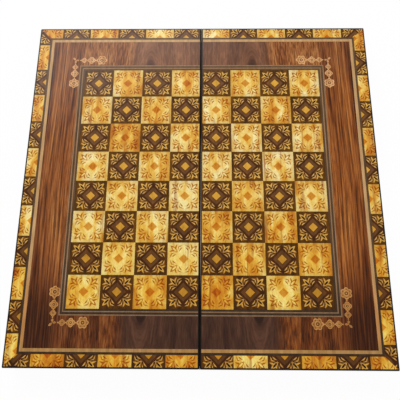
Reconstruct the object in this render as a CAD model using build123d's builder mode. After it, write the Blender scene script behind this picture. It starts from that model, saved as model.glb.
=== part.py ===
from build123d import *
import os
from math import sqrt

# A folding chess board that is also a case: two shallow trays, hinged rim to rim. It lies open and
# rim down, chess face up. X runs to the right, Y to the back, Z up. The origin is on the table, under
# the middle of the seam, where the hinge barrels touch down. Sizes are in millimetres.

# Chess face
square_size = 43.5
squares_across = 8
side_margin = 74.5
front_margin = 73.0
veneer_thickness = 0.6
veneer_joint = 0.12

# Lines and bands, from the outer edge inwards
edge_lip = 2.2
border_band = 14.8
outer_black_line = 2.9
broad_tan_line = 4.3

# Lines from the squares outwards
grid_black_line = 2.6
inner_tan_line = 1.7
middle_black_line = 2.6
outer_tan_line = 1.7

# Border tiles
tiles_in_row = 5
tiles_in_column = 10
corner_tile = 18.5
left_column_shift = 6.3
right_column_shift = -4.4

# Trays
tray_height = 35.0
panel_thickness = 5.5
rail_thickness = 12.0
seam_gap = 0.8
seam_lip = 1.8
corner_radius = 1.5
edge_radius = 1.4
rim_chamfer = 0.8
closing_gap = 0.3

# Mitre splines
spline_thickness = 3.0
spline_width = 9.0
spline_stop = 7.0
spline_from_inside = 6.0
glue_clearance = 0.05

# Inner board and its points
inner_board_thickness = 3.0
inner_board_clearance = 0.1
points_in_row = 6
point_base_gap = 3.0
point_length = 188.0
point_margin = 4.0

# Hinges
hinge_length = 40.0
hinge_spacing = 300.0
leaf_width = 9.2
leaf_thickness = 1.2
barrel_radius = 2.0
pin_radius = 0.9
pin_clearance = 0.05
knuckle_count = 3
knuckle_gap = 0.15
barrel_clearance = 0.3
mortise_clearance = 0.1
pin_overhang = 0.4

# Nails through the leaves
nails_per_leaf = 2
nail_spacing = 22.0
nail_from_axis = 5.8
nail_radius = 1.0
nail_length = 10.0
fixing_clearance = 0.05

# Hooks, their pivots and their catches
hook_spacing = 240.0
hook_thickness = 1.3
hook_wall_gap = 0.3
hook_head_gap = 0.3
hook_eye_radius = 3.8
hook_arm_width = 3.6
hook_mouth_radius = 4.2
hook_mouth_play = 0.5
hook_tab_reach = 7.0
hook_tab_width = 3.0
hook_corner_radius = 1.2
pivot_above_rim = 12.0
pivot_radius = 1.6
pivot_play = 0.08
catch_above_rim = 12.0
catch_neck_radius = 1.5
stud_cover = 4.0
stud_head_radius = 3.4
stud_head_height = 1.3

# Places worked out from the sizes above
grid_half = square_size * squares_across / 2
board_half_x = grid_half + side_margin
board_half_y = grid_half + front_margin
pin_level = barrel_radius
rim_level = pin_level + closing_gap / 2
top_level = rim_level + tray_height
panel_level = top_level - panel_thickness
rail_height = tray_height - panel_thickness
veneer_level = top_level - veneer_thickness
seam_face = seam_gap / 2
face_seam_edge = seam_face + seam_lip
tray_width = board_half_x - seam_face
tray_centre = seam_face + tray_width / 2
band_inner = edge_lip + border_band
broad_line_inset = band_inner + outer_black_line
field_inset = broad_line_inset + broad_tan_line
inner_line_start = grid_half + grid_black_line
middle_line_start = inner_line_start + inner_tan_line
outer_line_start = middle_line_start + middle_black_line
field_inner_edge = outer_line_start + outer_tan_line
cavity_near = seam_face + rail_thickness
cavity_far = board_half_x - rail_thickness
cavity_half_y = board_half_y - rail_thickness
row_tile = (board_half_x - band_inner - corner_tile) / tiles_in_row
column_tile = 2 * (board_half_y - band_inner - corner_tile) / tiles_in_column
inner_board_level = panel_level - inner_board_thickness
knuckle_length = (hinge_length - knuckle_gap * (knuckle_count - 1)) / knuckle_count
hook_length = pivot_above_rim + catch_above_rim + closing_gap
fixing_reach = hook_wall_gap + hook_thickness + hook_head_gap
stud_depth = rail_thickness - stud_cover

sides = {"left": -1, "right": 1}
column_shifts = {"left": left_column_shift, "right": right_column_shift}
hinge_places = {"front": -hinge_spacing / 2, "rear": hinge_spacing / 2}
hook_places = {"front": -hook_spacing / 2, "rear": hook_spacing / 2}

os.makedirs("parts", exist_ok=True)


def save(piece, name):
    """Name a finished piece and write it."""
    piece.part.label = name
    export_step(piece.part, "parts/" + name + ".step")


def rectangle_between(side, near, far, front, rear, mode=Mode.ADD):
    """A rectangle on one side of the seam, given by its distances from the seam and its Y limits."""
    with Locations((side * (near + far) / 2, (front + rear) / 2)):
        Rectangle(far - near, rear - front, mode=mode)


def frame_line(side, half_x, half_y, inner_x, inner_y):
    """One half of a frame round the board's centre, cut off at the seam, with half its joint off each edge."""
    slack = veneer_joint / 2
    rectangle_between(side, face_seam_edge + slack, half_x - slack, slack - half_y, half_y - slack)
    rectangle_between(side, face_seam_edge, inner_x + slack, -inner_y - slack, inner_y + slack, Mode.SUBTRACT)


# Panels


def make_panel(side):
    """The board over a tray, rounded at its edges, with the bed for the face let into it."""
    with BuildPart() as panel:
        with BuildSketch(Plane.XY.offset(panel_level)):
            with Locations((side * tray_centre, 0)):
                RectangleRounded(tray_width, 2 * board_half_y, corner_radius)
        extrude(amount=panel_thickness)
        fillet(panel.faces().sort_by(Axis.Z)[-1].edges(), edge_radius)
        with BuildSketch(Plane.XY.offset(veneer_level)):
            rectangle_between(
                side, face_seam_edge, board_half_x - edge_lip, edge_lip - board_half_y, board_half_y - edge_lip
            )
        extrude(amount=veneer_thickness, mode=Mode.SUBTRACT)
    return panel


# Squares, lines, field and border tiles


def square_outline(column, row):
    """The limits of a square on its side of the seam, which cuts the squares beside it: near, far, front, rear."""
    left = (column - squares_across / 2) * square_size
    right = left + square_size
    near = max(min(abs(left), abs(right)), face_seam_edge)
    far = max(abs(left), abs(right))
    front = (row - squares_across / 2) * square_size
    return near, far, front, front + square_size


def make_squares(name, dark):
    """The squares of one colour on one half. The square at the left rear corner is dark."""
    side = sides[name]
    first = 0 if side < 0 else squares_across // 2
    with BuildPart() as squares:
        with BuildSketch(Plane.XY.offset(veneer_level)):
            for column in range(first, first + squares_across // 2):
                for row in range(squares_across):
                    if ((column + row) % 2 == (squares_across - 1) % 2) == dark:
                        near, far, front, rear = square_outline(column, row)
                        slack = veneer_joint / 2
                        rectangle_between(side, near + slack, far - slack, front + slack, rear - slack)
        extrude(amount=veneer_thickness)
    return squares


def make_black_lines(side):
    """The dark line inside the border tiles, the one between the thin tan lines and the one round the squares."""
    lines = [
        (board_half_x - band_inner, board_half_y - band_inner, outer_black_line),
        (outer_line_start, outer_line_start, middle_black_line),
        (inner_line_start, inner_line_start, grid_black_line),
    ]
    with BuildPart() as black_lines:
        with BuildSketch(Plane.XY.offset(veneer_level)):
            for half_x, half_y, width in lines:
                frame_line(side, half_x, half_y, half_x - width, half_y - width)
        extrude(amount=veneer_thickness)
    return black_lines


def make_tan_lines(side):
    """The broad tan line round the field and the two thin ones round the squares."""
    lines = [
        (board_half_x - broad_line_inset, board_half_y - broad_line_inset, broad_tan_line),
        (field_inner_edge, field_inner_edge, outer_tan_line),
        (middle_line_start, middle_line_start, inner_tan_line),
    ]
    with BuildPart() as tan_lines:
        with BuildSketch(Plane.XY.offset(veneer_level)):
            for half_x, half_y, width in lines:
                frame_line(side, half_x, half_y, half_x - width, half_y - width)
        extrude(amount=veneer_thickness)
    return tan_lines


def make_field(side):
    """The dark sheet between the broad line and the thin ones."""
    with BuildPart() as field:
        with BuildSketch(Plane.XY.offset(veneer_level)):
            frame_line(
                side,
                board_half_x - field_inset,
                board_half_y - field_inset,
                field_inner_edge,
                field_inner_edge,
            )
        extrude(amount=veneer_thickness)
    return field


def row_tiles(side):
    """Outlines of the tiles along the front, from the seam out. The last is mitred into the corner."""
    slack = veneer_joint / 2
    outer = edge_lip - board_half_y + slack
    inner = band_inner - board_half_y - slack
    outlines = []
    for number in range(tiles_in_row):
        near = max(number * row_tile, face_seam_edge) + slack
        far = (number + 1) * row_tile - slack
        outlines.append([(side * near, outer), (side * far, outer), (side * far, inner), (side * near, inner)])
    near = tiles_in_row * row_tile + slack
    mitre = slack * sqrt(2)
    outer_far = board_half_x - edge_lip - slack - mitre
    inner_far = board_half_x - band_inner + slack - mitre
    outlines.append([(side * near, outer), (side * outer_far, outer), (side * inner_far, inner), (side * near, inner)])
    return outlines


def column_tiles(side, shift):
    """Outlines of the tiles along the outer end, from the rear to the front, both corners mitred."""
    slack = veneer_joint / 2
    mitre = slack * sqrt(2)
    outer = board_half_x - edge_lip - slack
    inner = board_half_x - band_inner + slack
    outer_end = board_half_y - edge_lip - slack - mitre
    inner_end = board_half_y - band_inner + slack - mitre
    start = shift + tiles_in_column * column_tile / 2
    stop = shift - tiles_in_column * column_tile / 2
    outlines = [
        [
            (side * outer, outer_end),
            (side * inner, inner_end),
            (side * inner, start + slack),
            (side * outer, start + slack),
        ]
    ]
    for number in range(tiles_in_column):
        rear = start - number * column_tile - slack
        front = start - (number + 1) * column_tile + slack
        outlines.append([(side * outer, rear), (side * inner, rear), (side * inner, front), (side * outer, front)])
    outlines.append(
        [
            (side * outer, stop - slack),
            (side * inner, stop - slack),
            (side * inner, -inner_end),
            (side * outer, -outer_end),
        ]
    )
    return outlines


def border_tiles(name):
    """All border tiles of one half, each with True for a dark one. Colours alternate along each run."""
    side = sides[name]
    tiles = []
    front_dark = side > 0
    for number, outline in enumerate(row_tiles(side)):
        dark = (number % 2 == 0) == front_dark
        tiles.append((outline, dark))
        tiles.append(([(x, -y) for x, y in outline], not dark))
    for number, outline in enumerate(column_tiles(side, column_shifts[name])):
        tiles.append((outline, (number % 2 == 0) != front_dark))
    return tiles


def make_border(name, wanted_dark):
    """The border tiles of one colour on one half."""
    with BuildPart() as border:
        with BuildSketch(Plane.XY.offset(veneer_level)):
            for outline, dark in border_tiles(name):
                if dark == wanted_dark:
                    Polygon(*outline, align=None)
        extrude(amount=veneer_thickness)
    return border


# Rails, mitred at the corners and held by splines


def corner_places(side):
    """The four corners of a tray with the direction from each to the tray's middle."""
    near, far = seam_face, board_half_x
    return [
        (side * x, y, side * to_middle_x, to_middle_y)
        for x, to_middle_x in ((near, 1), (far, -1))
        for y, to_middle_y in ((-board_half_y, 1), (board_half_y, -1))
    ]


def spline_planes(side):
    """A plane at the foot of each spline, its X axis along the mitre from the corner to the inside."""
    along = (rail_thickness * sqrt(2) - spline_from_inside) / sqrt(2)
    return [
        Plane(
            origin=(x + dx * along, y + dy * along, rim_level + spline_stop),
            x_dir=(dx, dy, 0),
            z_dir=(0, 0, 1),
        )
        for x, y, dx, dy in corner_places(side)
    ]


def rail_outline(side, which):
    """The mitred outline of a rail from above."""
    near, far = side * seam_face, side * board_half_x
    near_in, far_in = side * cavity_near, side * cavity_far
    end, end_in = board_half_y, cavity_half_y
    outlines = {
        "front": [(near, -end), (far, -end), (far_in, -end_in), (near_in, -end_in)],
        "rear": [(near, end), (far, end), (far_in, end_in), (near_in, end_in)],
        "end": [(far, -end), (far, end), (far_in, end_in), (far_in, -end_in)],
        "hinge": [(near, -end), (near, end), (near_in, end_in), (near_in, -end_in)],
    }
    return outlines[which]


def hinge_beds(side):
    """What a hinge rail gives up: beds for the leaves, rebates for the barrels and holes for the nails."""
    with BuildPart() as beds:
        for place in hinge_places.values():
            length = hinge_length + 2 * mortise_clearance
            with BuildSketch(Plane.XY.offset(rim_level)):
                rectangle_between(side, 0, leaf_width + mortise_clearance, place - length / 2, place + length / 2)
            extrude(amount=leaf_thickness)
            rebate = length / 2 + pin_overhang
            with BuildSketch(Plane.XY.offset(rim_level)):
                rectangle_between(side, 0, barrel_radius + barrel_clearance, place - rebate, place + rebate)
            extrude(amount=pin_level + barrel_radius + barrel_clearance - rim_level)
            with BuildSketch(Plane.XY.offset(rim_level)):
                with Locations(*nail_places(side, place)):
                    Circle(nail_radius + fixing_clearance)
            extrude(amount=nail_length + fixing_clearance)
    return beds


def fixing_holes(side, level, radius):
    """Holes into the outer wall for the shanks that the hooks turn on or catch."""
    with BuildPart() as holes:
        for place in hook_places.values():
            with BuildSketch(wall_plane(side, place, level, 0)):
                Circle(radius + fixing_clearance)
            extrude(amount=-stud_depth - fixing_clearance)
    return holes


def rail_fixings(side, which):
    """What the fixings take out of a rail, or nothing."""
    if which == "hinge":
        return [hinge_beds(side).part]
    if which == "end" and side < 0:
        return [fixing_holes(side, rim_level + pivot_above_rim, pivot_radius).part]
    if which == "end":
        return [fixing_holes(side, rim_level + catch_above_rim, catch_neck_radius).part]
    return []


def make_rail(side, which):
    """A rail between the rim and the panel, the sharp edges of its rim taken off."""
    long_way = Axis.X if which in ("front", "rear") else Axis.Y
    fixings = rail_fixings(side, which)
    with BuildPart() as rail:
        with BuildSketch(Plane.XY.offset(rim_level)):
            Polygon(*rail_outline(side, which), align=None)
            with Locations((side * tray_centre, 0)):
                RectangleRounded(tray_width, 2 * board_half_y, corner_radius, mode=Mode.INTERSECT)
        extrude(amount=rail_height)
        chamfer(rail.faces().sort_by(Axis.Z)[0].edges().filter_by(long_way), rim_chamfer)
        for plane in spline_planes(side):
            with BuildSketch(plane):
                Rectangle(spline_thickness + 2 * glue_clearance, spline_width + 2 * glue_clearance)
            extrude(amount=rail_height - spline_stop, mode=Mode.SUBTRACT)
        for fixing in fixings:
            add(fixing, mode=Mode.SUBTRACT)
    return rail


def make_splines(side):
    """A loose tongue across each mitre, stopped short of the rim."""
    with BuildPart() as splines:
        for plane in spline_planes(side):
            with BuildSketch(plane):
                Rectangle(spline_thickness, spline_width)
            extrude(amount=rail_height - spline_stop)
    return splines


# Inner board and its points


def point_outlines(side, dark):
    """Triangles of one colour: bases along the front and rear walls, tips towards the middle."""
    field_near = cavity_near + inner_board_clearance + point_margin
    field_far = cavity_far - inner_board_clearance - point_margin
    pitch = (field_far - field_near) / points_in_row
    base = cavity_half_y - inner_board_clearance - point_margin
    outlines = []
    for number in range(points_in_row):
        from_left = number if side > 0 else points_in_row - 1 - number
        middle = side * (field_near + (number + 0.5) * pitch)
        half = (pitch - point_base_gap) / 2
        to_rear = 1 if (from_left % 2 == 0) == dark else -1
        outlines.append(
            [
                (middle - half, to_rear * base),
                (middle + half, to_rear * base),
                (middle, to_rear * (base - point_length)),
            ]
        )
    return outlines


def make_inner_board(side):
    """The board under the panel, with a bed for each point."""
    with BuildPart() as inner_board:
        with BuildSketch(Plane.XY.offset(inner_board_level)):
            rectangle_between(
                side,
                cavity_near + inner_board_clearance,
                cavity_far - inner_board_clearance,
                inner_board_clearance - cavity_half_y,
                cavity_half_y - inner_board_clearance,
            )
        extrude(amount=inner_board_thickness)
        with BuildSketch(Plane.XY.offset(inner_board_level)):
            for dark in (True, False):
                for outline in point_outlines(side, dark):
                    Polygon(*outline, align=None)
        extrude(amount=veneer_thickness, mode=Mode.SUBTRACT)
    return inner_board


def make_points(side, dark):
    """The points of one colour, let in flush with the inner board."""
    with BuildPart() as points:
        with BuildSketch(Plane.XY.offset(inner_board_level)):
            for outline in point_outlines(side, dark):
                Polygon(*outline, align=None)
        extrude(amount=veneer_thickness)
    return points


# Hinges


def barrel_plane(place):
    """A plane across the hinge axis at a place along the seam, facing the back."""
    return Plane(origin=(0, place, pin_level), x_dir=(1, 0, 0), z_dir=(0, 1, 0))


def nail_places(side, place):
    """The nails of one leaf, in a row along it."""
    middle = (nails_per_leaf - 1) / 2
    return [(side * nail_from_axis, place + (n - middle) * nail_spacing) for n in range(nails_per_leaf)]


def knuckle_start(place, number):
    """Where a knuckle of the hinge at the given place begins."""
    return place - hinge_length / 2 + number * (knuckle_length + knuckle_gap)


def make_leaf(side, place):
    """A flat leaf let into the rim, with its share of the knuckles: odd ones left, even ones right."""
    own = [n for n in range(knuckle_count) if (n % 2 == 0) == (side < 0)]
    others = [n for n in range(knuckle_count) if n not in own]
    with BuildPart() as leaf:
        with BuildSketch(Plane.XY.offset(rim_level)):
            rectangle_between(side, 0, leaf_width, place - hinge_length / 2, place + hinge_length / 2)
        extrude(amount=leaf_thickness)
        with BuildSketch(Plane.XY.offset(rim_level)):
            for number in others:
                start = knuckle_start(place, number) - knuckle_gap
                end = start + knuckle_length + 2 * knuckle_gap
                rectangle_between(side, 0, barrel_radius + barrel_clearance, start, end)
        extrude(amount=leaf_thickness, mode=Mode.SUBTRACT)
        for number in own:
            with BuildSketch(barrel_plane(knuckle_start(place, number))):
                Circle(barrel_radius)
            extrude(amount=knuckle_length)
        with BuildSketch(barrel_plane(place - hinge_length / 2)):
            Circle(pin_radius + pin_clearance)
        extrude(amount=hinge_length, mode=Mode.SUBTRACT)
        with BuildSketch(Plane.XY.offset(rim_level)):
            with Locations(*nail_places(side, place)):
                Circle(nail_radius + fixing_clearance)
        extrude(amount=leaf_thickness, mode=Mode.SUBTRACT)
    return leaf


def make_pin(place):
    """The pin through a hinge's knuckles, standing a little out of the barrel at both ends."""
    with BuildPart() as pin:
        with BuildSketch(barrel_plane(place - hinge_length / 2 - pin_overhang)):
            Circle(pin_radius)
        extrude(amount=hinge_length + 2 * pin_overhang)
    return pin


def make_hinge_nails(side):
    """Brass nails through the leaves, filed flush with them."""
    with BuildPart() as nails:
        with BuildSketch(Plane.XY.offset(rim_level)):
            for place in hinge_places.values():
                with Locations(*nail_places(side, place)):
                    Circle(nail_radius)
        extrude(amount=nail_length)
    return nails


# Hooks on the left tray and their catches on the right one


def wall_plane(side, place, level, distance):
    """A plane on an outer wall or off it, facing out, its X axis to the back."""
    return Plane(
        origin=(side * (board_half_x + distance), place, level),
        x_dir=(0, 1, 0),
        z_dir=(side, 0, 0),
    )


def make_hook(place):
    """A flat hook, swung aside along the wall: an eye, an arm, a mouth that opens downwards and a finger tab."""
    level = rim_level + pivot_above_rim
    mouth = catch_neck_radius + hook_mouth_play
    with BuildPart() as hook:
        with BuildSketch(wall_plane(-1, place, level, hook_wall_gap)) as outline:
            Circle(hook_eye_radius)
            with Locations((hook_length / 2, 0)):
                Rectangle(hook_length, hook_arm_width)
            with Locations((hook_length, 0)):
                Circle(hook_mouth_radius)
            with Locations((hook_length + hook_tab_reach / 2, 0)):
                Rectangle(hook_tab_reach, hook_tab_width)
            fillet(outline.vertices(), hook_corner_radius)
            Circle(pivot_radius + pivot_play, mode=Mode.SUBTRACT)
            with Locations((hook_length, 0)):
                Circle(mouth, mode=Mode.SUBTRACT)
            with Locations((hook_length, hook_mouth_radius / 2)):
                Rectangle(2 * mouth, hook_mouth_radius, mode=Mode.SUBTRACT)
        extrude(amount=hook_thickness)
    return hook


def make_studs(side, level, shank_radius):
    """Studs in an outer wall: a shank that a hook turns on or catches, and a flat head outside the hook."""
    with BuildPart() as studs:
        for place in hook_places.values():
            with BuildSketch(wall_plane(side, place, level, -stud_depth)):
                Circle(shank_radius)
            extrude(amount=stud_depth + fixing_reach)
            with BuildSketch(wall_plane(side, place, level, fixing_reach)):
                Circle(stud_head_radius)
            extrude(amount=stud_head_height)
    return studs


for name, side in sides.items():
    save(make_panel(side), name + "_panel")
    save(make_squares(name, True), name + "_dark_squares")
    save(make_squares(name, False), name + "_light_squares")
    save(make_black_lines(side), name + "_black_lines")
    save(make_tan_lines(side), name + "_tan_lines")
    save(make_field(side), name + "_field")
    save(make_border(name, True), name + "_dark_border_tiles")
    save(make_border(name, False), name + "_light_border_tiles")
    for which in ("front", "rear", "end", "hinge"):
        save(make_rail(side, which), name + "_" + which + "_rail")
    save(make_splines(side), name + "_corner_splines")
    save(make_inner_board(side), name + "_inner_board")
    save(make_points(side, True), name + "_dark_points")
    save(make_points(side, False), name + "_light_points")
    for place_name, place in hinge_places.items():
        save(make_leaf(side, place), name + "_" + place_name + "_hinge_leaf")
    save(make_hinge_nails(side), name + "_hinge_nails")

for place_name, place in hinge_places.items():
    save(make_pin(place), place_name + "_hinge_pin")

for place_name, place in hook_places.items():
    save(make_hook(place), place_name + "_hook")

save(make_studs(-1, rim_level + pivot_above_rim, pivot_radius), "hook_pivots")
save(make_studs(1, rim_level + catch_above_rim, catch_neck_radius), "catch_studs")
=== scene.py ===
import random
from math import cos, pi, radians, sin, sqrt

import bmesh
import bpy
from mathutils import Matrix, Vector
from mathutils.geometry import delaunay_2d_cdt


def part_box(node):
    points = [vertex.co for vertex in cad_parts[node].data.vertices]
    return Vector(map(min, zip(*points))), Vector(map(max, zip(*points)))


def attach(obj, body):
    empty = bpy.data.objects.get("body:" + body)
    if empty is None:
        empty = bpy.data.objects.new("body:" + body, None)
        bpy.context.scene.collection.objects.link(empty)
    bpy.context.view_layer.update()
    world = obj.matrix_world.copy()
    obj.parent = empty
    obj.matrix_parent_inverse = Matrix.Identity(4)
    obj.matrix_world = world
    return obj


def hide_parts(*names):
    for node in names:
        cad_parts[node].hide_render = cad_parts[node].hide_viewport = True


# A folding chess board that is also a case. It lies open and rim down, chess face up: inlaid squares,
# lines, a rosewood field and a tiled border, all under one clear gloss lacquer, on black trays with
# brass hinges and hooks. Blender works in metres here, and the sizes below are in millimetres.

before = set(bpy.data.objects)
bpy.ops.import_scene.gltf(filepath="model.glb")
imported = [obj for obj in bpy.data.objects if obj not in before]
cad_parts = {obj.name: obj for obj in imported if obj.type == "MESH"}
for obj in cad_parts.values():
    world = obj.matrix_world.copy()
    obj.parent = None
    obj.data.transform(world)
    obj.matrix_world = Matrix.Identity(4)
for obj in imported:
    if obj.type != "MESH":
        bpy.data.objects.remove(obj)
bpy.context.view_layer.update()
MM = 0.001

# Chess face
SQUARE = 43.5
TILE_THICKNESS = 0.6
BORDER_BAND = 14.8
ROW_TILE = 42.6
COLUMN_TILE = 42.3
FACE_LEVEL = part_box("left_field")[1].z / MM
BORDER_END = -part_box("left_dark_border_tiles")[0].y / MM
NARROW_LINES_REACH = 200

# By how much a border tile's size may be out and still tell where the tile lies
NEAR_ENOUGH = 1

# The seeds that choose where in the veneers the tiles of each half are cut
VENEER_CUT = {"left_half": 19, "right_half": 10}

# Veneers: the jump between tiles, the shares of clouds and tone in burl, and the width of bands in pores
TILE_JUMP = (3.7, 9.1, 0.0)
CLOUD_SHARE = 0.86
TONE_SHARE = 0.17
BAND_TO_PORE = 8

# Rosewood: the cut of its figure, its arches, where calm wood turns lively, and its even shade
FIGURE_CUT = (2.59, 4.27, 0.91)
ARCH_MIDDLE = 76
ARCH_START = 165
ARCH_WIDTH = 4.0
CALM_END = 92
LIVELY_START = 112
EVEN_SHADE = 0.47

# Seam: where the panels end, the slit between their edge strips, the strips' section, and the unlit floor
SEAM_FACE = 0.4
SEAM_SLIT = 0.1
SEAM_EDGE_DEPTH = 3.0
SEAM_EDGE_EASE = 0.12
SEAM_SHADE = 1.5

# Ornament: the steps along a leaf, how far out it is widest, and sizes in parts of a square
LEAF_STEPS = 7
LEAF_BELLY = 1.25
BAND_OUTER = 0.434
BAND_EDGE = 0.151
DIAMOND_EDGE = 0.17
DIAMOND = 0.143
BORDER_CENTRE_INSIDE = 0.03

# Rosette chains in the corners of the field, in squares from the board's middle
CHAIN_X = 4.36
CHAIN_Y = 4.4
BIG_ROSETTE = 0.182
MIDDLE_ROSETTE = 0.136
SMALL_ROSETTE = 0.1
BIG_PLACE = (3.455, 3.51)
MIDDLE_PLACE = (3.81, 3.88)
SMALL_PLACE = (4.07, 4.13)
BEAD = 0.02
CORNER_LEAVES = ((0.1, 0.1), (-0.12, 0.0), (0.0, -0.12))
CORNER_LEAF_RIM = 0.032
CORNER_LEAF_INSIDE = 0.018

# One rosette: the steps round a plain ring and round a lobe, and sizes in parts of its radius
ROUND_STEPS = 16
LOBE_STEPS = 4
SCALLOP = 0.22
INSIDE_RIM = 0.84
EYE_RING = 0.46
EYE = 0.32
EYE_DOT = 0.12
SLIT_START = 0.52
SLIT_END = 0.8
SLIT_WIDTH = 0.07

# Camera
CAMERA_PLACE = (8.5, -193.95, 632.58)
CAMERA_TARGET = (-0.63, -27.62, 37.15)
CAMERA_ROLL = 0.37
FOCAL_PIXELS = 449.29
IMAGE_PIXELS = 400
SENSOR = 36.0

# Studio, in metres and watts
FLOOR_SIDE = 6.0
FLOOR_GLOW = 0.96
AMBIENT = 0.45
REAR_SOFTBOX = {"place": (-0.7, 1.65, 1.75), "width": 1.8, "depth": 1.0, "watts": 44}
FRONT_FILL = {"place": (0.9, -1.4, 1.6), "width": 1.2, "depth": 1.2, "watts": 7}

# Meshes: sizes, the angles that count as flat and as sharp, and how far up a top face points
WELD = 0.001
CUT_PRECISION = 0.0005
FLAT = radians(1)
SHARP = radians(32)
UPWARD = 0.9
BRASS_EASE = 0.22
RAIL_EASE = 0.35

# The sockets of a node that mixes colours, and its two ways of mixing
MIX_A, MIX_B = 6, 7
BLEND = {"take": 2, "data_type": "RGBA", "blend_type": "MIX"}
STAIN = {"take": 2, "data_type": "RGBA", "blend_type": "MULTIPLY"}

# Clear gloss lacquer over veneer, and the sharper gloss of black lacquer, both with little glare
GLOSS_LACQUER = {"Coat_Weight": 0.16, "Coat_Roughness": 0.2, "Coat_IOR": 1.5, "Specular_IOR_Level": 0.02}
BLACK_LACQUER = {"Coat_Weight": 0.16, "Coat_Roughness": 0.12, "Specular_IOR_Level": 0.04}

# Nodes and places


def colour(code):
    """An sRGB hex colour as linear RGBA."""
    parts = [int(code[i : i + 2], 16) / 255 for i in (1, 3, 5)]
    return tuple(p / 12.92 if p <= 0.04045 else ((p + 0.055) / 1.055) ** 2.4 for p in parts) + (1,)


def node(tree, kind, inputs=None, take=0, stops=(), **settings):
    """Adds a node with its settings, its ramp's stops and its inputs, values or links. Gives an output."""
    made = tree.nodes.new("ShaderNode" + kind)
    for key, value in settings.items():
        setattr(made, key, value)
    for number, (place, shade) in enumerate(stops):
        elements = made.color_ramp.elements
        element = elements[number] if number < 2 else elements.new(place)
        element.position = place
        element.color = colour(shade)
    for key, value in (inputs or {}).items():
        if isinstance(value, bpy.types.NodeSocket):
            tree.links.new(value, made.inputs[key])
        else:
            made.inputs[key].default_value = value
    return made.outputs[take] if len(made.outputs) else made


def place_on(tree, axis):
    """How far a point lies from the board's middle along an axis, in metres."""
    return node(tree, "SeparateXYZ", {0: node(tree, "TexCoord", take="Object")}, axis)


def in_units(tree, x, y, z, shift=None):
    """Places counted in a pattern's real sizes in millimetres, moved on by a vector if one is given."""
    place = node(tree, "TexCoord", take="Object")
    if shift is not None:
        place = node(tree, "VectorMath", {0: place, 1: shift}, operation="ADD")
    per_metre = (1 / (x * MM), 1 / (y * MM), 1 / (z * MM))
    return node(tree, "VectorMath", {0: place, 1: per_metre}, operation="MULTIPLY")


def tile_shift(tree):
    """A jump to another part of the veneer for each tile, so that no two are cut from the same place."""
    tone = node(tree, "Attribute", take="Fac", attribute_name="tone")
    return node(tree, "VectorMath", {0: TILE_JUMP, "Scale": tone}, operation="SCALE")


def beyond(tree, half_x, half_y):
    """One outside a rectangle round the origin, half sizes in millimetres, and nought inside it."""
    place = node(tree, "VectorMath", {0: node(tree, "TexCoord", take="Object")}, operation="ABSOLUTE")
    outside = []
    for axis, half in (("X", half_x), ("Y", half_y)):
        reach = node(tree, "SeparateXYZ", {0: place}, axis)
        outside.append(node(tree, "Math", {0: reach, 1: half * MM}, operation="GREATER_THAN"))
    return node(tree, "Math", {0: outside[0], 1: outside[1]}, operation="MAXIMUM")


def by_place(tree, place, start, end, first, last):
    """A value going softly from first to last between two places in millimetres, on an axis or a reach."""
    if isinstance(place, str):
        place = place_on(tree, place)
    inputs = {"Value": place, "From Min": start * MM, "From Max": end * MM, "To Min": first, "To Max": last}
    return node(tree, "MapRange", inputs, interpolation_type="SMOOTHSTEP")


def product(tree, values):
    """All the values multiplied together."""
    result = values[0]
    for value in values[1:]:
        result = node(tree, "Math", {0: result, 1: value}, operation="MULTIPLY")
    return result


# Finishes


def new_material(name):
    """An empty node material and its tree."""
    material = bpy.data.materials.new(name)
    material.use_nodes = True
    material.node_tree.nodes.clear()
    return material, material.node_tree


def surface(tree, base, roughness, height, bump_mm, **constants):
    """The shader: colour, roughness and height as the nodes draw them, and constants on its own sockets."""
    normal = node(tree, "Bump", {"Height": height, "Distance": bump_mm * MM, "Strength": 1.0})
    inputs = {"Base Color": base, "Roughness": roughness, "Normal": normal}
    inputs.update({key.replace("_", " "): value for key, value in constants.items()})
    node(tree, "OutputMaterial", {"Surface": node(tree, "BsdfPrincipled", inputs)})


def lacquered(tree, base, figure):
    """Veneer under clear gloss lacquer: its pores hardly show in the surface, which mirrors softly."""
    roughness = node(tree, "MapRange", {"Value": figure, "To Min": 0.38, "To Max": 0.52})
    surface(tree, base, roughness, figure, bump_mm=0.012, **GLOSS_LACQUER)


def burl_clouds(tree, shift):
    """Clouds from cream to amber by each tile's own tone, palest in the two middle rows of squares."""
    tone = node(tree, "Attribute", take="Fac", attribute_name="tone")
    size = {"Vector": in_units(tree, 14, 40, 20, shift), "Scale": 1.0}
    clouds = node(tree, "TexNoise", {**size, "Detail": 4.0, "Roughness": 0.6, "Distortion": 0.6})
    level = node(tree, "Math", {0: clouds, 1: CLOUD_SHARE}, operation="MULTIPLY")
    level = node(tree, "Math", {0: tone, 1: TONE_SHARE, 2: level}, operation="MULTIPLY_ADD")
    from_middle = node(tree, "Math", {0: place_on(tree, "Y")}, operation="ABSOLUTE")
    middle_rows = by_place(tree, from_middle, 35, 75, -0.035, 0.0)
    level = node(tree, "Math", {0: level, 1: middle_rows}, operation="ADD")
    shades = ((0.34, "#fbedb6"), (0.43, "#f7dd8e"), (0.52, "#ebbe58"), (0.62, "#da9836"), (0.74, "#b66c20"))
    return node(tree, "ValToRGB", {"Fac": level}, stops=shades)


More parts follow.
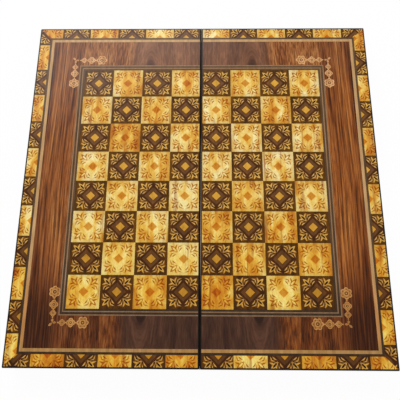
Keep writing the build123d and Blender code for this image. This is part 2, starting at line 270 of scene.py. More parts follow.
def burl_colour(tree):
    """Yellow burl: cream to amber clouds under a fine mottle, with a few red-brown streaks."""
    shift = tile_shift(tree)
    size = {"Vector": in_units(tree, 1.6, 2.6, 2, shift), "Scale": 1.0}
    mottle = node(tree, "TexNoise", {**size, "Detail": 4.0, "Roughness": 0.6})
    speckle = node(tree, "ValToRGB", {"Fac": mottle}, stops=((0.3, "#d2b98a"), (0.62, "#ffffff")))
    base = node(tree, "Mix", {0: 0.5, MIX_A: burl_clouds(tree, shift), MIX_B: speckle}, **STAIN)
    size = {"Vector": in_units(tree, 7.0, 90, 20, shift), "Scale": 1.0}
    streaks = node(tree, "TexNoise", {**size, "Detail": 4.0, "Roughness": 0.55, "Distortion": 0.3})
    amount = node(tree, "MapRange", {"Value": streaks, "From Min": 0.56, "From Max": 0.72, "To Max": 0.8})
    streaked = node(tree, "Mix", {0: amount, MIX_A: base, MIX_B: colour("#9c4c18")}, **BLEND)
    return streaked, mottle


def shaded_at_front(tree, base, tint):
    """A colour multiplied towards a tint on the near side, as painted shade that makes the veneers darker
    and yellower there.
    """
    # Painted shade: full at the near side, gone towards the middle
    near = by_place(tree, "Y", -190, 40, 1, 0)
    return node(tree, "Mix", {0: near, MIX_A: base, MIX_B: colour(tint)}, **STAIN)


def tinted_burl(name, tint, amount):
    """The burl of the light tiles as one zone of the ornament shows it, stained towards a tint."""
    material, tree = new_material(name)
    base, figure = burl_colour(tree)
    base = node(tree, "Mix", {0: amount, MIX_A: base, MIX_B: colour(tint)}, **STAIN)
    # The near side gets painted shade
    lacquered(tree, shaded_at_front(tree, base, "#fff9cc"), figure)
    return material


def stained_veneer(name, dark, middle, pale, across, along, near="#e0d4b0"):
    """A stained veneer whose shade wanders along the grain, finely mottled. Near is the tint of its painted
    near-side shade.
    """
    material, tree = new_material(name)
    size = {"Vector": in_units(tree, across, along, 10, tile_shift(tree)), "Scale": 1.0}
    figure = node(tree, "TexNoise", {**size, "Detail": 5.0, "Roughness": 0.62})
    base = node(tree, "ValToRGB", {"Fac": figure}, stops=((0.3, dark), (0.5, middle), (0.72, pale)))
    # The near side gets painted shade
    lacquered(tree, shaded_at_front(tree, base, near), figure)
    return material


def tan_line():
    """Tan stringing: the broad line is pale, and the two narrow lines round the squares are duller, with
    painted light and shade from front to rear.
    """
    material, tree = new_material("tan_line")
    size = {"Vector": in_units(tree, 4, 30, 10), "Scale": 1.0}
    figure = node(tree, "TexNoise", {**size, "Detail": 4.0, "Roughness": 0.6})
    shades = ((0.3, "#ad8557"), (0.5, "#bd9565"), (0.72, "#cfa779"))
    base = node(tree, "ValToRGB", {"Fac": figure}, stops=shades)
    # Painted shade: warmer and darker towards the near side, cooler at its very front edge
    for start, end, tint in ((-180, -110, "#ffe6c8"), (-222, -210, "#e7f5f8")):
        near = by_place(tree, "Y", start, end, 1, 0)
        base = node(tree, "Mix", {0: near, MIX_A: base, MIX_B: colour(tint)}, **STAIN)
    # The narrow lines' dulling goes from bluer and darker in front to grey at the rear, as painted light and
    # shade
    far = by_place(tree, "Y", -190, -80, 0, 1)
    dulling = node(tree, "Mix", {0: far, MIX_A: colour("#b4c6f4"), MIX_B: colour("#ccc6cc")}, **BLEND)
    dull = node(tree, "Mix", {0: 1.0, MIX_A: base, MIX_B: dulling}, **STAIN)
    broad = beyond(tree, NARROW_LINES_REACH, NARROW_LINES_REACH)
    base = node(tree, "Mix", {0: broad, MIX_A: dull, MIX_B: base}, **BLEND)
    lacquered(tree, base, figure)
    return material


def black_line():
    """Black-dyed stringing, painted browner at the far side where light falls on it, and painted blacker at
    the near side as shade.
    """
    material, tree = new_material("black_line")
    size = {"Vector": in_units(tree, 5, 30, 10), "Scale": 1.0}
    figure = node(tree, "TexNoise", {**size, "Detail": 5.0, "Roughness": 0.62})
    shades = ((0.3, "#443120"), (0.5, "#543e2a"), (0.72, "#664c34"))
    base = node(tree, "ValToRGB", {"Fac": figure}, stops=shades)
    # Painted shade towards black at the near side, and a painted brown highlight at the far side
    for end, amount, shade in ((-190, 0.54, "#000000"), (190, 0.12, "#8a6c50")):
        share = by_place(tree, "Y", end * 0.45, end, 0, amount)
        base = node(tree, "Mix", {0: share, MIX_A: base, MIX_B: colour(shade)}, **BLEND)
    lacquered(tree, base, figure)
    return material


def arched_grain(tree, across, along):
    """Distance across the grain, in metres: straight, but for an arch at the front and rear of each half."""
    aside = node(tree, "Math", {0: across, 1: ARCH_MIDDLE * MM}, operation="SUBTRACT")
    squared = node(tree, "Math", {0: aside, 1: aside}, operation="MULTIPLY")
    out = node(tree, "Math", {0: along, 1: ARCH_START * MM}, operation="SUBTRACT")
    raised = node(tree, "Math", {0: out, 1: ARCH_WIDTH * MM, 2: squared}, operation="MULTIPLY_ADD")
    raised = node(tree, "Math", {0: raised, 1: 0.0}, operation="MAXIMUM")
    return node(tree, "Math", {0: raised}, operation="SQRT")


def grain_streaks(tree, spot, x, y, z, detail=3.0, distortion=0.3, cut=(0.0, 0.0, 0.0)):
    """Streaks along the grain, their width, length and depth in millimetres, from one cut of the log."""
    inputs = {0: spot, 1: (1 / (x * MM), 1 / (y * MM), 1 / (z * MM)), 2: cut}
    vector = node(tree, "VectorMath", inputs, operation="MULTIPLY_ADD")
    inputs = {"Vector": vector, "Scale": 1.0, "Detail": detail, "Roughness": 0.6, "Distortion": distortion}
    return node(tree, "TexNoise", inputs)


def rosewood_shade(tree, spot, grain, across, lively):
    """How pale the rosewood is from place to place: broad streaks, evened out and changed by place."""
    level = grain_streaks(tree, spot, 24, 240, 70, distortion=0.8, cut=FIGURE_CUT)
    calm_share = node(tree, "MapRange", {"Value": lively, "To Min": 0.6, "To Max": 0.0})
    near_share = by_place(tree, "Y", 40, -60, 0.1, 0.45)
    evenness = node(tree, "Math", {0: calm_share, 1: near_share}, operation="MAXIMUM")
    level = node(tree, "Mix", {0: evenness, 2: level, 3: EVEN_SHADE}, data_type="FLOAT")
    front = by_place(tree, "Y", -130, -190, 0, 1)
    rear = by_place(tree, "Y", 140, 190, 0, 1)
    changes = (
        # The lively wood is paler, though less so towards the rear
        node(tree, "MapRange", {"Value": lively, "To Min": -0.02, "To Max": 0.075}),
        product(tree, (lively, by_place(tree, "Y", 60, 210, 0.0, -0.03))),
        # It darkens towards the front, partly as painted shade, a little to the right as painted shade, and
        # at its outer edges
        by_place(tree, "Y", -70, -200, 0.02, -0.19),
        by_place(tree, "X", 0, 240, 0.01, -0.005),
        by_place(tree, across, 170, 235, 0.0, -0.08),
        # Each arch has a dark heart with a pale ring round it
        by_place(tree, grain, 9, 12, -0.12, 0.05),
        by_place(tree, grain, 16, 26, 0.0, -0.05),
        # In front the lively wood darkens outwards, and at the rear painted shade darkens the calm wood to
        # the right
        product(tree, (lively, front, by_place(tree, across, 140, 205, 0.035, -0.035))),
        product(tree, (calm_share, rear, by_place(tree, "X", -30, 50, 0, -0.08))),
    )
    for change in changes:
        level = node(tree, "Math", {0: level, 1: change}, operation="ADD")
    return level


def rosewood_pores(tree, spot, across):
    """Fine lines along the grain, mostly short near the seam and mostly long towards the sides."""
    short = grain_streaks(tree, spot, 1.5, 15, 40)
    long = grain_streaks(tree, spot, 1.7, 90, 40, detail=2.0)
    long_share = by_place(tree, across, 150, 205, 0.3, 0.8)
    return node(tree, "Mix", {0: long_share, 2: short, 3: long}, data_type="FLOAT")


def rosewood():
    """Book-matched rosewood: calm grey-brown with arches by the seam, livelier orange-brown beyond."""
    material, tree = new_material("rosewood")
    folded = node(tree, "VectorMath", {0: node(tree, "TexCoord", take="Object")}, operation="ABSOLUTE")
    across = node(tree, "SeparateXYZ", {0: folded}, "X")
    grain = arched_grain(tree, across, node(tree, "SeparateXYZ", {0: folded}, "Y"))
    spot = node(tree, "CombineXYZ", {"X": grain, "Y": place_on(tree, "Y"), "Z": across})
    lively = by_place(tree, across, CALM_END, LIVELY_START, 0, 1)
    level = rosewood_shade(tree, spot, grain, across, lively)
    calm_shades = ((0.24, "#37221a"), (0.38, "#604131"), (0.52, "#8f644a"), (0.68, "#b0845f"))
    warm_shades = ((0.24, "#41210c"), (0.38, "#7b4722"), (0.52, "#b07038"), (0.68, "#d09450"))
    calm = node(tree, "ValToRGB", {"Fac": level}, stops=calm_shades)
    warm = node(tree, "ValToRGB", {"Fac": level}, stops=warm_shades)
    # Painted reflection: the lively wood is greyer and less warm at the left and the rear, as if light
    # mirrored there
    painted_haze_at_left = by_place(tree, "X", -240, 60, 0.7, 1.0)
    painted_haze_at_rear = by_place(tree, "Y", 120, 215, 1.0, 0.52)
    warmth = product(tree, (lively, painted_haze_at_left, painted_haze_at_rear))
    base = node(tree, "Mix", {0: warmth, MIX_A: calm, MIX_B: warm}, **BLEND)
    pores = rosewood_pores(tree, spot, across)
    pore_shades = ((0.38, "#5e4334"), (0.5, "#c8a88c"), (0.6, "#fff6e8"))
    lines = node(tree, "ValToRGB", {"Fac": pores}, stops=pore_shades)
    strength = node(tree, "MapRange", {"Value": lively, "To Min": 0.52, "To Max": 0.88})
    base = node(tree, "Mix", {0: strength, MIX_A: base, MIX_B: lines}, **STAIN)
    lacquered(tree, base, pores)
    return material


def painted_lip_glint(tree):
    """A painted glint's share: one on the lip to the right of the seam, fading out beside it and towards
    both its ends.
    """
    shares = (
        by_place(tree, "X", 0.0, 0.2, 0, 1),
        by_place(tree, "X", 0.9, 1.4, 1, 0),
        by_place(tree, "Y", -165, -85, 0, 1),
        by_place(tree, "Y", -70, -20, 1, 0.65),
        by_place(tree, "Y", 35, 75, 1, 0.15),
    )
    return product(tree, shares)


def black_lacquer():
    """Black lacquer, a faint brown cast in it, with a painted grey glint on the lip right of the seam."""
    material, tree = new_material("black_lacquered_board")
    size = {"Vector": in_units(tree, 9, 9, 6), "Scale": 1.0}
    skin = node(tree, "TexNoise", {**size, "Detail": 3.0, "Roughness": 0.5})
    base = node(tree, "ValToRGB", {"Fac": skin}, stops=((0.35, "#0f0906"), (0.7, "#1b110b")))
    # Painted highlight: a grey glint along the lip to the right of the seam
    base = node(tree, "Mix", {0: painted_lip_glint(tree), MIX_A: base, MIX_B: colour("#a39388")}, **BLEND)
    roughness = node(tree, "MapRange", {"Value": skin, "To Min": 0.3, "To Max": 0.42})
    surface(tree, base, roughness, skin, bump_mm=0.02, **BLACK_LACQUER)
    return material


def plain_wood(name, dark, middle, pale, across_x, across_y, gloss):
    """Straight-grained wood under a satin lacquer, with open pores along the grain."""
    material, tree = new_material(name)
    size = {"Vector": in_units(tree, BAND_TO_PORE * across_x, BAND_TO_PORE * across_y, 30), "Scale": 1.0}
    bands = node(tree, "TexNoise", {**size, "Detail": 3.0, "Distortion": 0.6})
    base = node(tree, "ValToRGB", {"Fac": bands}, stops=((0.32, dark), (0.5, middle), (0.7, pale)))
    size = {"Vector": in_units(tree, across_x, across_y, 3), "Scale": 1.0}
    pores = node(tree, "TexNoise", {**size, "Detail": 4.0, "Roughness": 0.65})
    lines = node(tree, "ValToRGB", {"Fac": pores}, stops=((0.34, "#6f5a4c"), (0.56, "#ffffff")))
    base = node(tree, "Mix", {0: 0.7, MIX_A: base, MIX_B: lines}, **STAIN)
    roughness = node(tree, "MapRange", {"Value": pores, "To Min": gloss - 0.08, "To Max": gloss + 0.12})
    surface(tree, base, roughness, pores, bump_mm=0.04, Specular_IOR_Level=0.4)
    return material


def brass():
    """Polished brass, stamped and a little handled: warm, with faint rubbing marks and duller patches."""
    material, tree = new_material("brass")
    size = {"Vector": in_units(tree, 0.5, 4.0, 0.5), "Scale": 1.0}
    rubbing = node(tree, "TexNoise", {**size, "Detail": 5.0, "Roughness": 0.6})
    patches = node(tree, "TexNoise", {"Vector": in_units(tree, 9, 9, 9), "Scale": 1.0, "Detail": 2.0})
    base = node(tree, "ValToRGB", {"Fac": patches}, stops=((0.35, "#b98c3f"), (0.65, "#d9b566")))
    inputs = {"Value": rubbing, "From Min": 0.3, "From Max": 0.7, "To Min": 0.2, "To Max": 0.36}
    surface(tree, base, node(tree, "MapRange", inputs), rubbing, bump_mm=0.006, Metallic=1.0)
    return material


# Ornament outlines


def leaf(root, tip, bow, width):
    """A leaf on a bowed line. Bow is how far the line's middle stands aside, in parts of its length."""
    along = (tip[0] - root[0], tip[1] - root[1])
    left, right = [], []
    for step in range(LEAF_STEPS + 1):
        t = step / LEAF_STEPS
        aside = 4 * bow * t * (1 - t)
        lean = 4 * bow * (1 - 2 * t)
        x = root[0] + along[0] * t - along[1] * aside
        y = root[1] + along[1] * t + along[0] * aside
        slope = (along[0] - along[1] * lean, along[1] + along[0] * lean)
        half = width * sin(pi * t**LEAF_BELLY) / sqrt(slope[0] ** 2 + slope[1] ** 2)
        if step in (0, LEAF_STEPS):
            left.append((x, y))
        else:
            left.append((x - slope[1] * half, y + slope[0] * half))
            right.append((x + slope[1] * half, y - slope[0] * half))
    return left + right[::-1]


def diamond(half):
    """A square standing on its corner."""
    return [(half, 0), (0, half), (-half, 0), (0, -half)]


def both_sides(zone, root, tip, bow, width):
    """A leaf and its mirror image in the diagonal."""
    return [(zone, leaf(root, tip, bow, width)), (zone, leaf(root[::-1], tip[::-1], -bow, width))]


def palmette():
    """One corner of the ornament: a slit flower on the diagonal, and tendrils that curl to both sides."""
    shapes = both_sides("heart", (0.22, 0.165), (0.105, 0.418), -0.25, 0.09)
    shapes += both_sides("curl", (0.147, 0.211), (0.045, 0.352), -0.1, 0.018)
    shapes += both_sides("curl", (0.197, 0.147), (0.04, 0.415), -0.27, 0.022)
    shapes += both_sides("slit", (0.148, 0.368), (0.118, 0.352), 0.15, 0.02)
    shapes += both_sides("slit", (0.194, 0.226), (0.177, 0.384), -0.09, 0.013)
    shapes += both_sides("petal", (0.304, 0.212), (0.212, 0.452), 0.01, 0.023)
    shapes += both_sides("petal", (0.296, 0.218), (0.403, 0.408), 0.09, 0.042)
    shapes.append(("slit", leaf((0.228, 0.228), (0.353, 0.353), 0, 0.029)))
    return shapes


def ornament():
    """The whole ornament of a square, its middle at the origin: later shapes lie over earlier ones."""
    shapes = [
        ("band_edge", diamond(BAND_OUTER)),
        ("band", diamond(BAND_OUTER - BAND_EDGE)),
        ("diamond_edge", diamond(DIAMOND_EDGE)),
        ("diamond", diamond(DIAMOND)),
    ]
    for side_x in (1, -1):
        for side_y in (1, -1):
            for zone, outline in palmette():
                shapes.append((zone, [(x * side_x, y * side_y) for x, y in outline]))
    return shapes


def ring(centre, radius, lobes=0, turn=0.0):
    """A round outline, scalloped if it has lobes."""
    count = LOBE_STEPS * lobes if lobes else ROUND_STEPS
    depth = SCALLOP if lobes else 0
    outline = []
    for step in range(count):
        angle = 2 * pi * step / count
        reach = radius * (1 - depth * (1 - abs(cos(lobes * angle / 2))))
        outline.append((centre[0] + reach * cos(angle + turn), centre[1] + reach * sin(angle + turn)))
    return outline


def rosette(centre, radius, lobes, turn):
    """A scalloped disc with a pale rim, a ring round a dark eye and a slit in each lobe."""
    shapes = [("rim", ring(centre, radius, lobes, turn))]
    shapes.append(("rosette", ring(centre, radius * INSIDE_RIM, lobes, turn)))
    for zone, share in (("rim", EYE_RING), ("eye", EYE), ("rim", EYE_DOT)):
        shapes.append((zone, ring(centre, radius * share)))
    for lobe in range(lobes):
        angle = 2 * pi * lobe / lobes + turn
        ends = []
        for share in (SLIT_START, SLIT_END):
            ends.append((centre[0] + radius * share * cos(angle), centre[1] + radius * share * sin(angle)))
        shapes.append(("eye", leaf(ends[0], ends[1], 0, radius * SLIT_WIDTH)))
    return shapes


def rosette_chain(to_corner):
    """Rosettes along both arms from one corner of the field, growing away from it, joined by beads."""
    corner = (CHAIN_X, CHAIN_Y)
    shapes = []
    for lobes, radius, (along_x, along_y) in (
        (6, BIG_ROSETTE, BIG_PLACE),
        (4, MIDDLE_ROSETTE, MIDDLE_PLACE),
        (4, SMALL_ROSETTE, SMALL_PLACE),
    ):
        shapes += rosette((along_x, CHAIN_Y), radius, lobes, 0.0)
        shapes += rosette((CHAIN_X, along_y), radius, lobes, pi / 2)
        shapes.append(("rim", ring((along_x + radius + BEAD, CHAIN_Y), BEAD)))
        shapes.append(("rim", ring((CHAIN_X, along_y + radius + BEAD), BEAD)))
    for out_x, out_y in CORNER_LEAVES:
        tip = (corner[0] + out_x, corner[1] + out_y)
        shapes.append(("rim", leaf(corner, tip, 0, CORNER_LEAF_RIM)))
        shapes.append(("rosette", leaf(corner, tip, 0, CORNER_LEAF_INSIDE)))
    return [(zone, [(x * to_corner[0], y * to_corner[1]) for x, y in outline]) for zone, outline in shapes]


# Pieces


def made_piece(name, mesh, finishes):
    """An object of the finished mesh with its finishes, in the scene."""
    data = bpy.data.meshes.new(name)
    mesh.to_mesh(data)
    mesh.free()
    for finish in finishes:
        data.materials.append(finish)
    piece = bpy.data.objects.new(name, data)
    bpy.context.scene.collection.objects.link(piece)
    return piece


def outlines_of(name):
    """The outlines of a CAD node's flat tops, anticlockwise, in millimetres."""
    solid = bmesh.new()
    solid.from_mesh(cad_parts[name].data)
    bmesh.ops.remove_doubles(solid, verts=solid.verts, dist=WELD * MM)
    solid.normal_update()
    others = [face for face in solid.faces if face.normal.z < UPWARD]
    bmesh.ops.delete(solid, geom=others, context="FACES")
    bmesh.ops.dissolve_limit(solid, angle_limit=FLAT, verts=solid.verts, edges=solid.edges)
    outlines = [[(vert.co.x / MM, vert.co.y / MM) for vert in face.verts] for face in solid.faces]
    solid.free()
    return outlines


def anticlockwise(outline):
    """The outline, turned round if it runs clockwise."""
    area = sum(a[0] * b[1] - b[0] * a[1] for a, b in zip(outline, outline[1:] + outline[:1]))
    return outline if area > 0 else outline[::-1]


def parted(outline, shapes):
    """Cuts a tile into flat facets and gives its corners and, for each facet, its zone."""
    zones = ["ground"] + [zone for zone, _ in shapes]
    corners, loops = [], []
    for shape in [outline] + [shape for _, shape in shapes]:
        shape = anticlockwise(shape)
        loops.append(list(range(len(corners), len(corners) + len(shape))))
        corners += [Vector(corner) for corner in shape]
    places, _, facets, _, _, sources = delaunay_2d_cdt(corners, [], loops, 1, CUT_PRECISION, True)
    kept = [(facet, zones[max(of)]) for facet, of in zip(facets, sources) if 0 in of]
    return places, kept


def flat_tiles(tiles, zones, rng):
    """A mesh of the tiles' tops, each facet in the slot of its zone and each tile with its own tone."""
    mesh = bmesh.new()
    tone = mesh.verts.layers.float.new("tone")
    for outline, shapes in tiles:
        shade = rng.random()
        places, facets = parted(outline, shapes)
        made = {}
        for facet, zone in facets:
            for number in facet:
                if number not in made:
                    x, y = places[number]
                    made[number] = mesh.verts.new((x * MM, y * MM, FACE_LEVEL * MM))
                    made[number][tone] = shade
            top = mesh.faces.new([made[number] for number in facet])
            top.material_index = zones.index(zone)
    return mesh


def give_thickness(mesh):
    """Closes flat tiles at their sides and below, all in the first slot."""
    rims = [edge for edge in mesh.edges if edge.is_boundary]
    grown = bmesh.ops.extrude_edge_only(mesh, edges=rims)["geom"]
    foot = [item for item in grown if isinstance(item, bmesh.types.BMVert)]
    bmesh.ops.translate(mesh, verts=foot, vec=(0, 0, -TILE_THICKNESS * MM))
    for item in grown:
        if isinstance(item, bmesh.types.BMFace):
            item.material_index = 0
    bmesh.ops.holes_fill(mesh, edges=[edge for edge in mesh.edges if edge.is_boundary], sides=0)
    bmesh.ops.recalc_face_normals(mesh, faces=mesh.faces)


def inlay(replaced, tiles, materials, body):
    """Flush tiles with their ornament let in, in the place of a CAD node."""
    name = replaced + "_inlaid"
    zones = list(materials)
    mesh = flat_tiles(tiles, zones, random.Random(f"{name}{VENEER_CUT[body]}"))
    give_thickness(mesh)
    piece = made_piece(name, mesh, [materials[zone] for zone in zones])
    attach(piece, body)
    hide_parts(replaced)


def softened(name, body, width, finish):
    """A CAD piece made again with its sharp edges eased, as a file or sandpaper leaves them."""
    mesh = bmesh.new()
    mesh.from_mesh(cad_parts[name].data)
    bmesh.ops.remove_doubles(mesh, verts=mesh.verts, dist=WELD * MM)
    bmesh.ops.dissolve_limit(mesh, angle_limit=FLAT, verts=mesh.verts, edges=mesh.edges)
    sharp = [edge for edge in mesh.edges if edge.calc_face_angle(0) > SHARP]
    ease = {"offset": width * MM, "segments": 2, "profile": 0.5, "affect": "EDGES", "clamp_overlap": True}
    bmesh.ops.bevel(mesh, geom=sharp, **ease)
    for face in mesh.faces:
        face.smooth = True
    for edge in mesh.edges:
        edge.smooth = edge.calc_face_angle(0) < SHARP
    piece = made_piece(name + "_eased", mesh, [finish])
    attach(piece, body)
    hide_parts(name)


def seam_edge(side, finish):
    """A thin black edge strip down one half's side of the seam, which closes the gap to a slit."""
    low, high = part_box(side + "_panel")
    top = high.z / MM
    way = -1 if side == "left" else 1
    near = SEAM_SLIT / 2
    profile = (
        (SEAM_FACE, top - SEAM_EDGE_DEPTH),
        (near, top - SEAM_EDGE_DEPTH + SEAM_EDGE_EASE),
        (near, top - SEAM_EDGE_EASE),
        (near + SEAM_EDGE_EASE, top),
        (SEAM_FACE, top),
    )
    mesh = bmesh.new()
    ends = [[mesh.verts.new((way * x * MM, y, z * MM)) for x, z in profile] for y in (low.y, high.y)]
    for number in range(len(profile)):
        following = (number + 1) % len(profile)
        mesh.faces.new((ends[0][number], ends[0][following], ends[1][following], ends[1][number]))
    for end in ends:
        mesh.faces.new(end)
    bmesh.ops.recalc_face_normals(mesh, faces=mesh.faces)
    piece = made_piece(side + "_seam_edge", mesh, [finish])
    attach(piece, side + "_half")


def placed(shapes, centre):
    """The shapes moved to a centre and brought from squares to millimetres."""
    moved = []
    for zone, outline in shapes:
        moved.append((zone, [(centre[0] + x * SQUARE, centre[1] + y * SQUARE) for x, y in outline]))
    return moved


def square_centre(outline):
    """The middle of the square that an outline belongs to, also where its tile is narrower at the seam."""
    xs = [x for x, _ in outline]
    ys = [y for _, y in outline]
    column = round((min(xs) + max(xs)) / 2 / SQUARE - 0.5)
    row = round((min(ys) + max(ys)) / 2 / SQUARE - 0.5)
    return ((column + 0.5) * SQUARE, (row + 0.5) * SQUARE)


def border_centre(outline):
    """The ornament's middle for a border tile: on its inner edge, and at a mitre as for a whole tile."""
    xs = sorted(x for x, _ in outline)
    ys = sorted(y for _, y in outline)
    inside = BORDER_CENTRE_INSIDE * SQUARE
    side = 1 if xs[0] > 0 else -1
    if xs[-1] - xs[0] < BORDER_BAND + NEAR_ENOUGH:
        inner = min(abs(xs[0]), abs(xs[-1]))
        middle = (ys[0] + ys[-1]) / 2
        if ys[-1] > BORDER_END - NEAR_ENOUGH:
            middle = ys[0] + COLUMN_TILE / 2
        elif ys[0] < NEAR_ENOUGH - BORDER_END:
            middle = ys[-1] - COLUMN_TILE / 2
        return (side * (inner - inside), middle)
    near = min(abs(xs[0]), abs(xs[-1]))
    rear = 1 if ys[0] > 0 else -1
    inner = min(abs(ys[0]), abs(ys[-1]))
    return (side * (near + ROW_TILE / 2), rear * (inner - inside))


def make_face(side, dark, light, field):
    """The inlaid face of one half: squares, border tiles and field."""
    body = side + "_half"
    drawing = ornament()
    for shade, materials in (("dark", dark), ("light", light)):
        for kind, centre_of in (("squares", square_centre), ("border_tiles", border_centre)):
            name = f"{side}_{shade}_{kind}"
            tiles = [(outline, placed(drawing, centre_of(outline))) for outline in outlines_of(name)]
            inlay(name, tiles, materials, body)
    name = side + "_field"
    way = -1 if side == "left" else 1
    chains = rosette_chain((way, 1)) + rosette_chain((way, -1))
    tiles = [(outline, placed(chains, (0, 0))) for outline in outlines_of(name)]
    inlay(name, tiles, field, body)


def dark_tile_zones():
    """Dark brown tiles: gold petals and curls on a dark ground, and a gold diamond in a brown band."""
    return {
        "ground": stained_veneer("dark_ground", "#3a2303", "#583505", "#724506", 5, 30),
        "band_edge": stained_veneer("dark_band_edge", "#381c04", "#4c2706", "#5f3007", 5, 30),
        "band": stained_veneer("dark_band", "#51351c", "#684424", "#7d522b", 5, 30),
        "diamond_edge": stained_veneer("amber_edge", "#4e2905", "#623406", "#764007", 5, 20),
        "diamond": stained_veneer("gold_diamond", "#b98933", "#d29c3a", "#e3a83f", 6, 12),
        "heart": stained_veneer("amber_heart", "#5d3907", "#824f0a", "#a1620c", 3, 5),
        # Curls and petals take a paler tint for their painted near-side shade
        "curl": stained_veneer("gold_curl", "#b08b53", "#d1a55f", "#eab96b", 3, 5, "#f2e8ce"),
        "petal": stained_veneer("gold_petal", "#af8a45", "#d5a853", "#eebc5f", 3, 5, "#f2e8ce"),
        "slit": stained_veneer("dark_slit", "#1a0a01", "#2a1002", "#3a1803", 4, 6),
    }


def light_tile_zones():
    """Yellow burl tiles: orange petals and a diamond, olive curls and pale slits."""
    return {
        "ground": tinted_burl("light_ground", "#dfd6cc", 0.5),
        "band_edge": tinted_burl("light_band_edge", "#fffff0", 0.6),
        "band": tinted_burl("light_band", "#fffce6", 0.6),
        "diamond_edge": tinted_burl("light_diamond_edge", "#ffe5aa", 0.8),
        "diamond": tinted_burl("orange_diamond", "#d69a1c", 0.9),
        "heart": tinted_burl("light_heart", "#f5d8a0", 0.75),
        "curl": tinted_burl("olive_curl", "#ae7300", 0.95),
        "petal": tinted_burl("orange_petal", "#ae7200", 0.95),
        "slit": tinted_burl("light_slit", "#fffff8", 0.3),
    }


def field_zones():
    """The rosewood field and its tan rosettes with pale rims and brown eyes."""
    return {
        "ground": rosewood(),
        "rosette": stained_veneer("rosette_tan", "#9c6a3f", "#bc8653", "#d5a06a", 5, 20),
        "rim": stained_veneer("rosette_rim", "#bb8856", "#daa771", "#ecbe8d", 5, 20),
        "eye": stained_veneer("rosette_eye", "#5e3a1e", "#7a4c28", "#935f36", 5, 20),
    }


def make_trays(panel_finish):
    """The seam's edge strips, the black rails and the brass, with eased edges."""
    rail_x = plain_wood("black_rail_along_x", "#0e0a08", "#17100d", "#241a14", 40, 1.2, 0.42)
    rail_y = plain_wood("black_rail_along_y", "#0e0a08", "#17100d", "#241a14", 1.2, 40, 0.42)
    rails = {"front_rail": rail_x, "rear_rail": rail_x, "end_rail": rail_y, "hinge_rail": rail_y}
    metal = brass()
    for side in ("left", "right"):
        seam_edge(side, panel_finish)
        for kind in ("front_hinge_leaf", "rear_hinge_leaf", "hinge_nails"):
            softened(f"{side}_{kind}", side + "_half", BRASS_EASE, metal)
        for kind, finish in rails.items():
            softened(f"{side}_{kind}", side + "_half", RAIL_EASE, finish)
    for name in ("front_hinge_pin", "rear_hinge_pin", "hook_pivots"):
        softened(name, "left_half", BRASS_EASE, metal)
    softened("catch_studs", "right_half", BRASS_EASE, metal)
    for name in ("front_hook", "rear_hook"):
        softened(name, name, BRASS_EASE, metal)


def dress_cad_nodes(panel_finish):
    """Materials for the CAD nodes that stay."""
    finishes = {
        "tan_lines": tan_line(),
        "black_lines": black_line(),
        "panel": panel_finish,
        "inner_board": plain_wood("walnut", "#3a2013", "#5b3620", "#7a4e30", 1.6, 60, 0.45),
        "dark_points": plain_wood("dark_point_veneer", "#1a0f0a", "#2b1a12", "#3d271b", 1.2, 50, 0.45),
        "light_points": plain_wood("light_point_veneer", "#c69a5a", "#d9b272", "#e8cb94", 1.4, 60, 0.45),
        "corner_splines": plain_wood("beech", "#a9774a", "#bd8a5b", "#cf9f70", 1.0, 1.0, 0.6),
    }
    for name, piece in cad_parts.items():
        kind = name.split("_", 1)[1]
        if kind in finishes:
            piece.data.materials.clear()
            piece.data.materials.append(finishes[kind])


# Camera and studio


def make_camera():
    """A camera above the near side of the board, a little rolled."""
    place, target = Vector(CAMERA_PLACE) * MM, Vector(CAMERA_TARGET) * MM
    forward = (target - place).normalized()
    right = forward.cross(Vector((0, 1, 0))).normalized()
    up = right.cross(forward)
    facing = Matrix((right, up, -forward)).transposed() @ Matrix.Rotation(radians(CAMERA_ROLL), 3, "Z")
    data = bpy.data.cameras.new("camera")
    data.sensor_width = SENSOR
    data.lens = FOCAL_PIXELS / IMAGE_PIXELS * SENSOR
    data.clip_end = 20
    camera = bpy.data.objects.new("camera", data)
    camera.matrix_world = Matrix.Translation(place) @ facing.to_4x4()
    bpy.context.scene.collection.objects.link(camera)
    bpy.context.scene.camera = camera


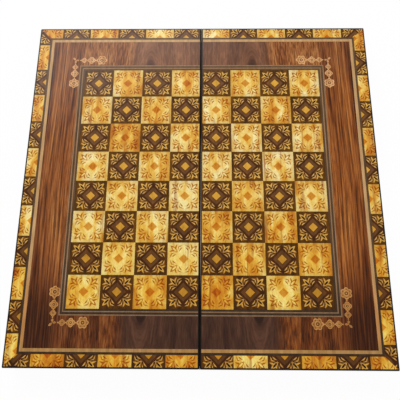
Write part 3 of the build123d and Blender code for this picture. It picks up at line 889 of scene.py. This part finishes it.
def make_light(name, place, width, depth, watts):
    """A soft lamp that faces the board."""
    data = bpy.data.lights.new(name, "AREA")
    data.shape = "RECTANGLE"
    data.size = width
    data.size_y = depth
    data.energy = watts
    lamp = bpy.data.objects.new(name, data)
    lamp.location = place
    lamp.rotation_euler = (-Vector(place)).to_track_quat("-Z", "Y").to_euler()
    bpy.context.scene.collection.objects.link(lamp)


def seen_directly(tree):
    """One where the camera, a reflection or glass shows the surface, and nought elsewhere."""
    seen = node(tree, "LightPath", take="Is Camera Ray")
    for kind in ("Is Glossy Ray", "Is Transmission Ray"):
        ray = node(tree, "LightPath", take=kind)
        seen = node(tree, "Math", {0: seen, 1: ray}, operation="MAXIMUM")
    return seen


def make_floor():
    """A matt white floor that looks white, keeps the board's shadow and doesn't glow through the seam."""
    grid = bmesh.new()
    bmesh.ops.create_grid(grid, x_segments=4, y_segments=4, size=FLOOR_SIDE / 2)
    material, tree = new_material("white_floor")
    matt = node(tree, "BsdfDiffuse", {"Color": colour("#f4f4f4")})
    glow = node(tree, "Emission", {"Color": colour("#ffffff"), "Strength": 1.0})
    share = product(tree, (seen_directly(tree), beyond(tree, SEAM_SHADE, BORDER_END), FLOOR_GLOW))
    node(tree, "OutputMaterial", {"Surface": node(tree, "MixShader", {0: share, 1: matt, 2: glow})})
    floor = made_piece("floor", grid, [material])


def make_world():
    """White all round where it is seen, and softer where it lights the board."""
    world = bpy.data.worlds.new("studio")
    world.use_nodes = True
    tree = world.node_tree
    tree.nodes.clear()
    ambient = node(tree, "Background", {"Color": colour("#ffffff"), "Strength": AMBIENT})
    white = node(tree, "Background", {"Color": colour("#ffffff"), "Strength": 1.0})
    mixed = node(tree, "MixShader", {0: seen_directly(tree), 1: ambient, 2: white})
    node(tree, "OutputWorld", {"Surface": mixed})
    bpy.context.scene.world = world


make_camera()
make_floor()
make_world()
make_light("rear_softbox", **REAR_SOFTBOX)
make_light("front_fill", **FRONT_FILL)
dark_zones, light_zones, wood_zones = dark_tile_zones(), light_tile_zones(), field_zones()
for half in ("left", "right"):
    make_face(half, dark_zones, light_zones, wood_zones)
black_panel = black_lacquer()
make_trays(black_panel)
dress_cad_nodes(black_panel)

bpy.context.scene.view_settings.view_transform = "Standard"
